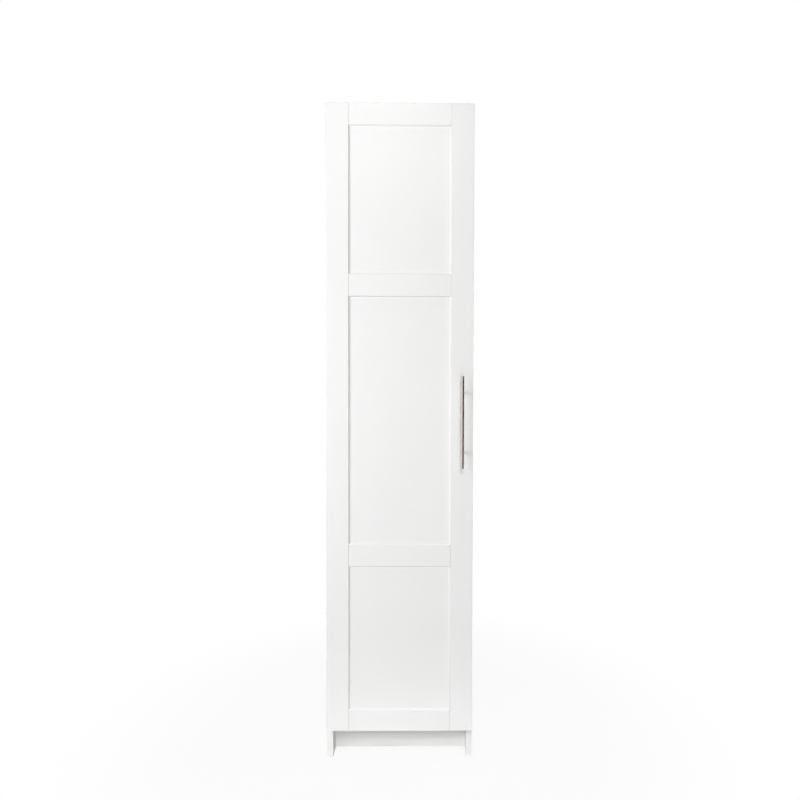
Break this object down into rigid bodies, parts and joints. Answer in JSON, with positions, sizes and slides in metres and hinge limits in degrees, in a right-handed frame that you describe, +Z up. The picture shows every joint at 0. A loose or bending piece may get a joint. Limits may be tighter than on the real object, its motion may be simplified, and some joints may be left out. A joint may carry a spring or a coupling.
{
  "type": "broom cupboard",
  "caption": "Tall narrow white cupboard with a full-height framed and panelled door on concealed hinges, a round bar handle, shelves above a broom bay and a recessed kickboard.",
  "frame": {"origin": "on the floor, midway across the width and midway along the whole depth, handle included", "axes": "+Z up, -Y out of the front, +X towards the handle side"},
  "size_m": [0.4, 0.435, 1.79],
  "materials": {
    "white_door": "satin white foil on fibreboard",
    "white_board": "matt white melamine on chipboard",
    "white_back": "painted white hardboard",
    "beech": "plain beech",
    "brushed_handle": "brushed nickel",
    "nickel_hinge": "nickel plated",
    "zinc_steel": "zinc plated",
    "cast_zinc": "bare die-cast zinc",
    "white_plastic": "moulded white plastic",
    "clear_bumper": "soft clear bumper"
  },
  "bodies": {
    "carcass": {"adjustable_shelf": "white_board", "back_panel_lower": "white_back", "back_panel_nails": "zinc_steel", "back_panel_upper": "white_back", "bottom_panel": "white_board", "cam_bolts": "zinc_steel", "cam_caps": "white_plastic", "cam_locks": "cast_zinc", "fixed_shelf": "white_board", "foot_glides": "white_plastic", "hinge_arm_1": "nickel_hinge", "hinge_arm_2": "nickel_hinge", "hinge_arm_3": "nickel_hinge", "hinge_arm_4": "nickel_hinge", "hinge_arm_screws": "nickel_hinge", "hinge_plate_1": "nickel_hinge", "hinge_plate_2": "nickel_hinge", "hinge_plate_3": "nickel_hinge", "hinge_plate_4": "nickel_hinge", "hinge_plate_screws": "nickel_hinge", "kickboard": "white_board", "left_side_panel": "white_board", "right_side_panel": "white_board", "shelf_pins": "white_plastic", "top_panel": "white_board", "wall_fixing_rail": "white_board", "wood_dowels": "beech"},
    "door": {"door_bottom_rail": "white_door", "door_bumpers": "clear_bumper", "door_left_stile": "white_door", "door_lower_mid_rail": "white_door", "door_lower_panel": "white_door", "door_middle_panel": "white_door", "door_right_stile": "white_door", "door_top_rail": "white_door", "door_upper_mid_rail": "white_door", "door_upper_panel": "white_door", "handle_bar": "brushed_handle", "handle_bolts": "zinc_steel", "handle_post_lower": "brushed_handle", "handle_post_upper": "brushed_handle", "hinge_cup_1": "nickel_hinge", "hinge_cup_2": "nickel_hinge", "hinge_cup_3": "nickel_hinge", "hinge_cup_4": "nickel_hinge", "hinge_cup_screws": "nickel_hinge", "hinge_pin_1": "nickel_hinge", "hinge_pin_2": "nickel_hinge", "hinge_pin_3": "nickel_hinge", "hinge_pin_4": "nickel_hinge"}
  },
  "joints": [
    {"name": "door_swing", "type": "hinge", "parent": "carcass", "child": "door", "pos_m": [-0.191, -0.173, 0], "axis": [0, 0, -1], "range_deg": [0, 105]}
  ]
}
